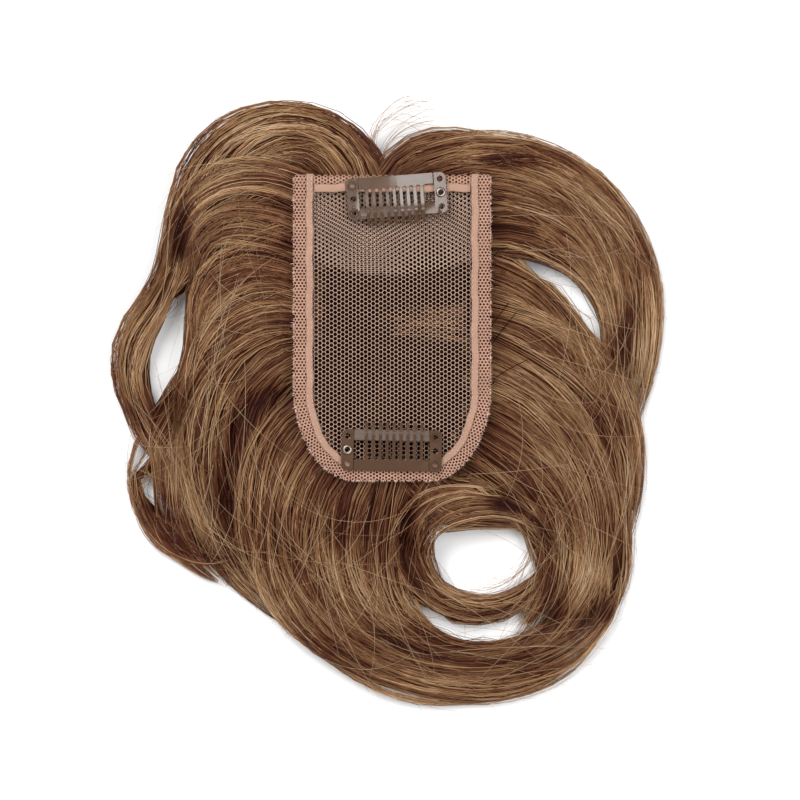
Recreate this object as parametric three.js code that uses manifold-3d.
// A clip-in hair topper lying with its scalp side up: a net base edged with hem and ribbon, two snap
// combs sewn to it, and wavy hair that comes out from under the base and curls round it in locks.
import * as THREE from "three";
import { mergeVertices } from "three/addons/utils/BufferGeometryUtils.js";
import Module from "manifold-3d";

const wasm = await Module();
wasm.setup();

// Driving dimensions, in millimetres and degrees. The front of the base is at +Y and the scalp side is +Z.
const BASE_WIDTH = 63;
const BASE_LENGTH = 98;
const BASE_CENTRE = new THREE.Vector2(2, 24.5);
const BACK_CORNER = new THREE.Vector2(20, 30); // the two rounded corners at the back, as ellipse radii
const FLAT_HALF_WIDTH = 18; // the base lies flat under the clips and its sides curl up from here
const SIDE_RISE = 1.6;
const SEAM_GAP = 0.3; // between layers that touch
const CLOTH = 1; // thickness of net, hem and ribbon
const HEM_WIDTH = 3.7; // along the sides and the back
const FRONT_HEM_WIDTH = 3;
const RIBBON_WIDTH = 2.3;
const NET_INSET = 0.5; // the net's edge lies this far inside the hem's
const PATCH_INSET = 1.5;
const PATCH_EDGE_Y = 48; // where the second layer's scalloped edge meets the sides
const PATCH_DIP = 6.5; // how far the scallop hangs back in the middle

const HAIR_TOP = 16.4; // top of the hair under the base
const HAIR_INSET = 1.2;
const ROOT_TUCK = 9; // how far each lock runs in under the base
const RING_SPACING = 13.4; // distance between a lock's rings
const LOCK_SIDES = 8;
const LOCK_SINK = 0.8; // how far a lock presses into the table before it is trimmed flat
const ROOT_WIDTH_SHARE = 0.75; // a lock's width at its root and tip, and its depth at its tip, as shares
const TIP_WIDTH_SHARE = 0.25;
const TIP_DEPTH_SHARE = 0.5;
const TAPER_FROM = 0.45; // where along its length a lock starts to thin
const FALL_FROM = 0.05; // and between which two points it sinks from the base to the table
const FALL_TO = 0.8;

const CLIP_LENGTH = 32;
const CLIP_WIDTH = 13.2;
const CLIP_CORNER = 1.8;
const BAR_CORNER = 0.4;
const PLATE = 0.8; // thickness of the clip's steel
const TAB_WIDTH = 3.9; // the clip's two ends
const FRONT_BAR = 3.6;
const BACK_BAR = 3.6;
const TOOTH_COUNT = 9;
const TOOTH_PITCH = 2.2;
const TOOTH_WIDTH = 1.1;
const TOOTH_THICKNESS = 0.6;
const TOOTH_CREST = 1.6; // height of a tooth's middle line over the front bar
const TOOTH_REACH = 2.5; // how far a tooth's tip stands out past the front bar
const FIRST_TOOTH_X = 9.5;
const HOLE_ROWS = [2.2, 6.6, 11]; // distances of the tab's three holes from the clip's back edge
const RING_TAB_X = 13.9; // hole line of the tab with the two embossed rings
const EYELET_TAB_X = -14.1; // hole line of the tab with the eyelet
const PLAIN_HOLE = 0.85;
const RING_RADIUS = 1.5;
const RING_HOLE = 0.75;
const EYELET = { flange: 1.6, barrel: 1.05, bore: 0.75, height: 0.5 };

// Each clip is placed by the middle of its back edge and turned so that its teeth point into the base.
const CLIPS = [
  { name: "front_clip", x: 2.9, y: 73, turn: 184.5 },
  { name: "back_clip", x: 1.7, y: -21.2, turn: -1 },
];

// The locks, counted round the base from the front. Each leaves the base's edge at a bearing seen from the
// base's centre, and its headings are spread evenly along it, from its root to its tip.
const LOCKS = [
  { bearing: 92, length: 62, headings: [60, 15, -5, -17, -36], width: 10, depth: 7 },
  {
    bearing: 101,
    length: 230,
    headings: [108, 164, 210, 251, 259, 230, 284, 299, 298, 312, 330],
    width: 17,
    depth: 10,
  },
  { bearing: 97, length: 44, headings: [114, 146, 176, 196, 208], width: 11, depth: 7 },
  { bearing: 110, length: 100, headings: [114, 210, 247, 238, 262], width: 13, depth: 11 },
  { bearing: 118, length: 56, headings: [134, 198, 233, 250, 255], width: 17, depth: 12 },
  { bearing: 121, length: 58, headings: [157, 204, 240, 258, 264], width: 18, depth: 12 },
  { bearing: 125, length: 60, headings: [178, 214, 254, 268, 272], width: 16, depth: 12 },
  { bearing: 136, length: 125, headings: [182, 246, 266, 265, 290], width: 17, depth: 12 },
  {
    bearing: 147,
    length: 122,
    headings: [180, 212, 249, 256, 236, 233, 268, 308, 342],
    width: 18,
    depth: 11,
  },
  { bearing: 162, length: 107, headings: [188, 236, 260, 281, 302], width: 18, depth: 12 },
  { bearing: 183, length: 108, headings: [188, 240, 270, 298, 322], width: 19, depth: 12 },
  { bearing: 200, length: 118, headings: [204, 270, 295, 319, 338], width: 18, depth: 12 },
  { bearing: 221, length: 112, headings: [214, 266, 293, 319, 340], width: 16, depth: 12 },
  { bearing: 236, length: 158, headings: [230, 288, 332, 358, 410], width: 19, depth: 11 },
  { bearing: 248, length: 122, headings: [236, 281, 326, 354, 382], width: 18, depth: 12 },
  { bearing: 258, length: 114, headings: [243, 281, 328, 362, 392], width: 18, depth: 12 },
  { bearing: 269, length: 114, headings: [254, 272, 334, 374, 426], width: 16, depth: 11 },
  { bearing: 282, length: 91, headings: [238, 277, 336, 390, 436], width: 16, depth: 9 },
  { bearing: 280, length: 66, headings: [306, 358, 350, 322, 290], width: 19, depth: 9 },
  { bearing: 304, length: 72, headings: [-30, -45, -72, -106, -140], width: 19, depth: 10 },
  { bearing: 315, length: 84, headings: [-25, -42, -72, -104, -128], width: 19, depth: 12 },
  { bearing: 330, length: 116, headings: [-20, -54, -82, -122, -148], width: 21, depth: 12 },
  { bearing: 347, length: 112, headings: [-20, -47, -77, -88, -136], width: 20, depth: 12 },
  { bearing: 10, length: 92, headings: [-14, -36, -56, -82, -102], width: 19, depth: 12 },
  { bearing: 30, length: 106, headings: [-14, -52, -77, -88, -98], width: 17, depth: 12 },
  { bearing: 44, length: 73, headings: [4, -24, -55, -79, -87], width: 15, depth: 11 },
  { bearing: 51, length: 78, headings: [-2, -30, -60, -83, -90], width: 16, depth: 12 },
  { bearing: 57, length: 86, headings: [-6, -32, -62, -86, -93], width: 18, depth: 12 },
  { bearing: 64, length: 100, headings: [10, -25, -58, -88, -99], width: 18, depth: 12 },
  { bearing: 73, length: 120, headings: [22, -16, -50, -88, -102], width: 18, depth: 12 },
  { bearing: 82, length: 138, headings: [31, -14, -47, -87, -108], width: 17, depth: 11 },
];

// Heights of the layers, from the hair up.
const PATCH_Z = HAIR_TOP + SEAM_GAP;
const NET_Z = PATCH_Z + CLOTH + SEAM_GAP;
const TRIM_Z = NET_Z + CLOTH + SEAM_GAP;
const CLIP_Z = TRIM_Z + CLOTH + SEAM_GAP;

const HALF_WIDTH = BASE_WIDTH / 2;
const FRONT_Y = BASE_CENTRE.y + BASE_LENGTH / 2;
const BACK_Y = BASE_CENTRE.y - BASE_LENGTH / 2;
const LEFT_X = BASE_CENTRE.x - HALF_WIDTH;
const RIGHT_X = BASE_CENTRE.x + HALF_WIDTH;

const HAIR = new THREE.MeshStandardMaterial({ name: "hair", color: 0x876441, roughness: 0.5 });
const NET = new THREE.MeshStandardMaterial({ name: "net", color: 0xc39e8a, roughness: 0.9 });
const RIBBON = new THREE.MeshStandardMaterial({ name: "ribbon", color: 0xcda28c, roughness: 0.85 });
const STEEL = new THREE.MeshStandardMaterial({ name: "steel", color: 0x7d675c, roughness: 0.4 });
STEEL.metalness = 0.9;
const EYELET_STEEL = new THREE.MeshStandardMaterial({ name: "eyelet", color: 0xa5968c, roughness: 0.3 });
EYELET_STEEL.metalness = 1;

const radians = THREE.MathUtils.degToRad;

// Only positions are kept and shared corners are merged, so that the surface is closed.
function closed(geometry) {
  const bare = geometry.clone();
  bare.deleteAttribute("normal");
  bare.deleteAttribute("uv");
  return mergeVertices(bare, 1e-4);
}

function solid(geometry) {
  const surface = closed(geometry);
  return new wasm.Manifold(
    new wasm.Mesh({
      numProp: 3,
      vertProperties: new Float32Array(surface.attributes.position.array),
      triVerts: new Uint32Array(surface.index.array),
    }),
  );
}

function geometryOf(manifold) {
  const { vertProperties, triVerts, numProp } = manifold.getMesh();
  const points = new THREE.InterleavedBuffer(vertProperties, numProp);
  const geometry = new THREE.BufferGeometry();
  geometry.setAttribute("position", new THREE.InterleavedBufferAttribute(points, 3, 0));
  geometry.setIndex(new THREE.BufferAttribute(triVerts, 1));
  return geometry.toNonIndexed();
}

function joined(geometries) {
  return geometries.map(solid).reduce((whole, piece) => whole.add(piece));
}

function mesh(name, geometry, material) {
  const made = new THREE.Mesh(closed(geometry), material);
  made.geometry.computeVertexNormals();
  made.name = name;
  return made;
}

// A closed slab over a grid of steps: skin(u, v) gives [x, y, bottom z, top z], with u and v from 0 to 1
// and u to the right of v.
function slab(across, along, skin) {
  const positions = [];
  const index = [];
  const layer = (across + 1) * (along + 1);
  const corner = (i, j, top) => (top ? layer : 0) + j * (across + 1) + i;
  const face = (a, b, c, d) => index.push(a, b, c, a, c, d);
  for (const level of [2, 3]) {
    for (let j = 0; j <= along; j++) {
      for (let i = 0; i <= across; i++) {
        const point = skin(i / across, j / along);
        positions.push(point[0], point[1], point[level]);
      }
    }
  }
  for (let j = 0; j < along; j++) {
    for (let i = 0; i < across; i++) {
      face(corner(i, j, 1), corner(i + 1, j, 1), corner(i + 1, j + 1, 1), corner(i, j + 1, 1));
      face(corner(i, j + 1, 0), corner(i + 1, j + 1, 0), corner(i + 1, j, 0), corner(i, j, 0));
    }
    face(corner(0, j + 1, 0), corner(0, j, 0), corner(0, j, 1), corner(0, j + 1, 1));
    face(corner(across, j, 0), corner(across, j + 1, 0), corner(across, j + 1, 1), corner(across, j, 1));
  }
  for (let i = 0; i < across; i++) {
    face(corner(i, 0, 0), corner(i + 1, 0, 0), corner(i + 1, 0, 1), corner(i, 0, 1));
    face(corner(i + 1, along, 0), corner(i, along, 0), corner(i, along, 1), corner(i + 1, along, 1));
  }
  const geometry = new THREE.BufferGeometry();
  geometry.setAttribute("position", new THREE.Float32BufferAttribute(positions, 3));
  geometry.setIndex(index);
  return geometry;
}

// How far the base's curled sides stand above its flat middle.
function rise(x) {
  const past = Math.abs(x - BASE_CENTRE.x) - FLAT_HALF_WIDTH;
  return SIDE_RISE * (Math.max(0, past) / (HALF_WIDTH - FLAT_HALF_WIDTH)) ** 2;
}

// A sheet of cloth at a given height, following the base's curl.
function cloth(across, along, bottom, plan) {
  return slab(across, along, (u, v) => {
    const { x, y } = plan(u, v);
    return [x, y, bottom + rise(x), bottom + CLOTH + rise(x)];
  });
}

// The base's edge from the front left corner, back round the two rounded corners, to the front right one.
const edge = new THREE.Path();
edge.moveTo(LEFT_X, FRONT_Y);
edge.lineTo(LEFT_X, BACK_Y + BACK_CORNER.y);
edge.absellipse(LEFT_X + BACK_CORNER.x, BACK_Y + BACK_CORNER.y, BACK_CORNER.x, BACK_CORNER.y,
  Math.PI, 1.5 * Math.PI);
edge.lineTo(RIGHT_X - BACK_CORNER.x, BACK_Y);
edge.absellipse(RIGHT_X - BACK_CORNER.x, BACK_Y + BACK_CORNER.y, BACK_CORNER.x, BACK_CORNER.y,
  1.5 * Math.PI, 2 * Math.PI);
edge.lineTo(RIGHT_X, FRONT_Y);

// A point on that edge, moved in towards the middle of the base.
function edgePoint(along, inset) {
  const tangent = edge.getTangent(along);
  return edge.getPoint(along).add(new THREE.Vector2(-tangent.y, tangent.x).multiplyScalar(inset));
}

// A band that follows the edge between two insets.
const EDGE_STEPS = 40;
const edgeBand = (outer, inner) =>
  cloth(1, EDGE_STEPS, TRIM_Z, (u, v) => edgePoint(v, inner + (outer - inner) * u));

// The whole base, inset from its edge, in rows from the back to the front. Columns crowd to the sides.
const ROUND_SHARE = 0.5; // share of the rows that the rounded back takes
function basePlan(u, v, inset) {
  const side = Math.sin((u - 0.5) * Math.PI);
  const turn = Math.min(1, v / ROUND_SHARE) * (Math.PI / 2);
  const straight = Math.max(0, v - ROUND_SHARE) / (1 - ROUND_SHARE);
  const half = HALF_WIDTH - inset - BACK_CORNER.x * (1 - Math.sin(turn));
  const backY = BACK_Y + inset + BACK_CORNER.y * (1 - Math.cos(turn));
  const y = backY + straight * (BASE_LENGTH - BACK_CORNER.y - 2 * inset);
  return new THREE.Vector2(BASE_CENTRE.x + side * half, y);
}
const BASE_COLUMNS = 10;
const BASE_ROWS = 14;
const PATCH_ROWS = 3;
const STRIP_COLUMNS = 8;

const makeNet = () => cloth(BASE_COLUMNS, BASE_ROWS, NET_Z, (u, v) => basePlan(u, v, NET_INSET));

// The second layer of net, cut to a scallop at its back edge.
function makePatch() {
  const half = HALF_WIDTH - PATCH_INSET;
  return cloth(BASE_COLUMNS, PATCH_ROWS, PATCH_Z, (u, v) => {
    const side = Math.sin((u - 0.5) * Math.PI);
    const scallop = PATCH_EDGE_Y - PATCH_DIP * (1 - side * side);
    const y = THREE.MathUtils.lerp(scallop, FRONT_Y - PATCH_INSET, v);
    return new THREE.Vector2(BASE_CENTRE.x + side * half, y);
  });
}

// A straight strip between the two legs of the side ribbon, at a distance from the front edge.
function frontStrip(inset, width) {
  const half = HALF_WIDTH - HEM_WIDTH - RIBBON_WIDTH - 2 * SEAM_GAP;
  return cloth(STRIP_COLUMNS, 1, TRIM_Z, (u, v) => {
    const x = BASE_CENTRE.x + (2 * u - 1) * half;
    return new THREE.Vector2(x, FRONT_Y - inset - width * (1 - v));
  });
}

// The point of the base's edge seen from its centre at a bearing, by walking out until the edge is passed.
function rootAt(bearing) {
  const ray = new THREE.Vector2(Math.cos(radians(bearing)), Math.sin(radians(bearing)));
  const stride = 0.1;
  let reach = 0;
  const inside = (point) => {
    const across = Math.abs(point.x);
    const fromBack = point.y + BASE_LENGTH / 2;
    if (across > HALF_WIDTH || point.y > BASE_LENGTH / 2 || fromBack < 0) return false;
    const u = Math.max(0, across - HALF_WIDTH + BACK_CORNER.x) / BACK_CORNER.x;
    const v = Math.max(0, BACK_CORNER.y - fromBack) / BACK_CORNER.y;
    return u * u + v * v <= 1;
  };
  while (inside(ray.clone().multiplyScalar(reach + stride))) reach += stride;
  return ray.multiplyScalar(reach).add(BASE_CENTRE);
}

// A lock's width and depth along its length, as shares of the full size: it swells past the root and thins
// to its tip.
function lockWidth(t) {
  const swell = Math.sin(Math.PI * Math.min(1, 1.6 * t));
  const thin = Math.max(0, (t - TAPER_FROM) / (1 - TAPER_FROM)) ** 1.5;
  return (ROOT_WIDTH_SHARE + (1 - ROOT_WIDTH_SHARE) * swell) * (1 - (1 - TIP_WIDTH_SHARE) * thin);
}
const lockDepth = (t) => THREE.MathUtils.lerp(1, TIP_DEPTH_SHARE, t);

// The walk along a lock takes this many paces between one ring and the next.
const PACES_PER_SPAN = 4;

// One lock as a closed tube of flattened rings, which leaves the base under its edge and sinks to the table.
function makeLock({ bearing, length, headings, width, depth }) {
  const spans = Math.max(4, Math.round(length / RING_SPACING));
  const headingAt = (t) => {
    const legs = headings.length - 1;
    const leg = Math.min(legs - 1, Math.floor(t * legs));
    return radians(THREE.MathUtils.lerp(headings[leg], headings[leg + 1], t * legs - leg));
  };
  const rootHeading = headingAt(0);
  const way = new THREE.Vector2(Math.cos(rootHeading), Math.sin(rootHeading));
  const place = rootAt(bearing);
  const rings = [{ place: place.clone().addScaledVector(way, -ROOT_TUCK), heading: rootHeading, t: 0 }];
  const paces = spans * PACES_PER_SPAN;
  for (let i = 0; i <= paces; i++) {
    const t = i / paces;
    if (i % PACES_PER_SPAN === 0) rings.push({ place: place.clone(), heading: headingAt(t), t });
    const ahead = headingAt(Math.min(1, (i + 0.5) / paces));
    place.add(new THREE.Vector2(Math.cos(ahead), Math.sin(ahead)).multiplyScalar(length / paces));
  }
  const positions = [];
  const index = [];
  for (const { place, heading, t } of rings) {
    const half = (width * lockWidth(t)) / 2;
    const tall = (depth * lockDepth(t)) / 2;
    const high = HAIR_TOP - SEAM_GAP - depth / 2;
    const fallen = THREE.MathUtils.smoothstep(t, FALL_FROM, FALL_TO);
    const middle = THREE.MathUtils.lerp(high, tall - LOCK_SINK, fallen);
    for (let k = 0; k < LOCK_SIDES; k++) {
      const angle = ((k + 0.5) / LOCK_SIDES) * 2 * Math.PI;
      const sideways = (Math.cos(angle) / Math.cos(Math.PI / LOCK_SIDES)) * half;
      const upward = (Math.sin(angle) / Math.cos(Math.PI / LOCK_SIDES)) * tall;
      positions.push(
        place.x + Math.sin(heading) * sideways,
        place.y - Math.cos(heading) * sideways,
        middle + upward,
      );
    }
  }
  const last = (rings.length - 1) * LOCK_SIDES;
  for (let k = 0; k < LOCK_SIDES; k++) {
    const next = (k + 1) % LOCK_SIDES;
    for (let ring = 0; ring < last; ring += LOCK_SIDES) {
      index.push(ring + k, ring + LOCK_SIDES + k, ring + LOCK_SIDES + next);
      index.push(ring + k, ring + LOCK_SIDES + next, ring + next);
    }
    if (k > 0 && k < LOCK_SIDES - 1) {
      index.push(0, k, k + 1);
      index.push(last, last + k + 1, last + k);
    }
  }
  const geometry = new THREE.BufferGeometry();
  geometry.setAttribute("position", new THREE.Float32BufferAttribute(positions, 3));
  geometry.setIndex(index);
  return geometry;
}

// All the hair: a pad under the base with the locks joined to it, trimmed flat where it lies on the table.
function makeHair() {
  const pad = slab(BASE_COLUMNS, BASE_ROWS, (u, v) => {
    const { x, y } = basePlan(u, v, HAIR_INSET);
    return [x, y, 0, HAIR_TOP + rise(x)];
  });
  const room = 400;
  const aboveTable = new THREE.BoxGeometry(room, room, room).translate(0, 0, room / 2);
  return geometryOf(joined([pad, ...LOCKS.map(makeLock)]).intersect(solid(aboveTable)));
}

// A plate's outline with round corners, from back to front, as a shape.
function roundedPlate(left, right, back, front, radius) {
  const shape = new THREE.Shape();
  shape.moveTo(left + radius, back);
  shape.absarc(right - radius, back + radius, radius, -Math.PI / 2, 0);
  shape.absarc(right - radius, front - radius, radius, 0, Math.PI / 2);
  shape.absarc(left + radius, front - radius, radius, Math.PI / 2, Math.PI);
  shape.absarc(left + radius, back + radius, radius, Math.PI, 1.5 * Math.PI);
  return shape;
}

const pressed = (shape, thickness) =>
  new THREE.ExtrudeGeometry(shape, { depth: thickness, bevelEnabled: false, curveSegments: 4 });

const RING_SEGMENTS = 12;

// A ring turned about the clip's upright axis, from a closed profile of [radius, height] corners.
function turned(profile, x, y) {
  const corners = [...profile, profile[0]].map(([r, z]) => new THREE.Vector2(r, z));
  return new THREE.LatheGeometry(corners, RING_SEGMENTS).rotateX(Math.PI / 2).translate(x, y, 0);
}

const WINDOW_HALF = CLIP_LENGTH / 2 - TAB_WIDTH;

// The clip's frame: two end tabs and the front bar, pressed from one plate, open towards the back.
function makeClipFrame() {
  const half = CLIP_LENGTH / 2;
  const plate = roundedPlate(-half, half, 0, CLIP_WIDTH, CLIP_CORNER);
  const hole = (x, y, radius) => {
    const path = new THREE.Path();
    path.absarc(x, y, radius, 0, 2 * Math.PI, true);
    plate.holes.push(path);
  };
  const [near, middle, far] = HOLE_ROWS;
  hole(RING_TAB_X, near, RING_HOLE);
  hole(RING_TAB_X, middle, PLAIN_HOLE);
  hole(RING_TAB_X, far, RING_HOLE);
  hole(EYELET_TAB_X, near, PLAIN_HOLE);
  hole(EYELET_TAB_X, middle, EYELET.barrel + SEAM_GAP);
  hole(EYELET_TAB_X, far, PLAIN_HOLE);
  const spare = 2;
  const windowFront = CLIP_WIDTH - FRONT_BAR;
  const opening = new THREE.BoxGeometry(2 * WINDOW_HALF, windowFront + spare, 2 * spare)
    .translate(0, (windowFront - spare) / 2, 0);
  const bury = 0.1;
  const ringHeight = 0.3;
  const ringProfile = [
    [RING_HOLE, PLATE - bury],
    [RING_RADIUS, PLATE - bury],
    [RING_RADIUS - ringHeight, PLATE + ringHeight],
    [RING_HOLE + ringHeight / 2, PLATE + ringHeight],
  ];
  const rings = [near, far].map((y) => turned(ringProfile, RING_TAB_X, y));
  return geometryOf(joined([pressed(plate, PLATE), ...rings]).subtract(solid(opening)));
}

// The line of a tooth seen from the side: out of the back bar, up over the front bar and down to its tip.
const toothLine = new THREE.SplineCurve([
  new THREE.Vector2(0.8 * BACK_BAR, PLATE / 2),
  new THREE.Vector2(1.25 * BACK_BAR, 0.7 * PLATE),
  new THREE.Vector2(CLIP_WIDTH - 1.3 * FRONT_BAR, 0.9 * TOOTH_CREST),
  new THREE.Vector2(CLIP_WIDTH - 0.5 * FRONT_BAR, TOOTH_CREST),
  new THREE.Vector2(CLIP_WIDTH + 0.5 * TOOTH_REACH, 0.75 * TOOTH_CREST),
  new THREE.Vector2(CLIP_WIDTH + TOOTH_REACH, PLATE / 2),
]);

// One tooth: that line given thickness, and pressed out to its width.
function makeTooth(x) {
  const steps = 6;
  const side = (sign) => Array.from({ length: steps + 1 }, (_, i) => {
    const tangent = toothLine.getTangent(i / steps);
    const normal = new THREE.Vector2(-tangent.y, tangent.x).multiplyScalar((sign * TOOTH_THICKNESS) / 2);
    return toothLine.getPoint(i / steps).add(normal);
  });
  const tip = toothLine.getPoint(1).addScaledVector(toothLine.getTangent(1), TOOTH_THICKNESS / 2);
  const shape = new THREE.Shape([...side(-1), tip, ...side(1).reverse()]);
  const sideView = new THREE.Matrix4().makeBasis(
    new THREE.Vector3(0, 1, 0),
    new THREE.Vector3(0, 0, 1),
    new THREE.Vector3(1, 0, 0),
  );
  return pressed(shape, TOOTH_WIDTH).applyMatrix4(sideView).translate(x - TOOTH_WIDTH / 2, 0, 0);
}

// The clip's comb: the back bar with its row of teeth.
function makeClipComb() {
  const half = WINDOW_HALF - SEAM_GAP;
  const bar = pressed(roundedPlate(-half, half, 0, BACK_BAR, BAR_CORNER), PLATE);
  const teeth = Array.from({ length: TOOTH_COUNT }, (_, i) => makeTooth(FIRST_TOOTH_X - i * TOOTH_PITCH));
  return geometryOf(joined([bar, ...teeth]));
}

// The eyelet: a flanged barrel set through the middle hole of one tab.
function makeEyelet() {
  const { flange, barrel, bore, height } = EYELET;
  const seat = PLATE + SEAM_GAP;
  const soften = 0.15;
  const profile = [
    [bore, soften],
    [barrel, soften],
    [barrel, seat],
    [flange, seat],
    [flange - soften, seat + height - soften],
    [barrel, seat + height],
    [bore, seat + height - soften],
  ];
  return turned(profile, EYELET_TAB_X, HOLE_ROWS[1]);
}

function makeClip({ name, x, y, turn }) {
  const clip = new THREE.Group();
  clip.add(mesh(`${name}_frame`, makeClipFrame(), STEEL));
  clip.add(mesh(`${name}_comb`, makeClipComb(), STEEL));
  clip.add(mesh(`${name}_eyelet`, makeEyelet(), EYELET_STEEL));
  clip.position.set(x, y, CLIP_Z);
  clip.rotation.z = radians(turn);
  return clip;
}

const RIBBON_INSET = HEM_WIDTH + SEAM_GAP;
const topper = new THREE.Group();
topper.add(mesh("hair", makeHair(), HAIR));
topper.add(mesh("net_patch", makePatch(), NET));
topper.add(mesh("base_net", makeNet(), NET));
topper.add(mesh("hem_sides", edgeBand(0, HEM_WIDTH), NET));
topper.add(mesh("hem_top", frontStrip(0, FRONT_HEM_WIDTH), NET));
topper.add(mesh("side_ribbon", edgeBand(RIBBON_INSET, RIBBON_INSET + RIBBON_WIDTH), RIBBON));
topper.add(mesh("top_ribbon", frontStrip(FRONT_HEM_WIDTH + SEAM_GAP, RIBBON_WIDTH), RIBBON));
CLIPS.forEach((clip) => topper.add(makeClip(clip)));

// The origin is on the table under the middle of the whole.
const middle = new THREE.Box3().setFromObject(topper, true).getCenter(new THREE.Vector3());
topper.children.forEach((piece) => piece.position.sub(new THREE.Vector3(middle.x, middle.y, 0)));

export default topper;
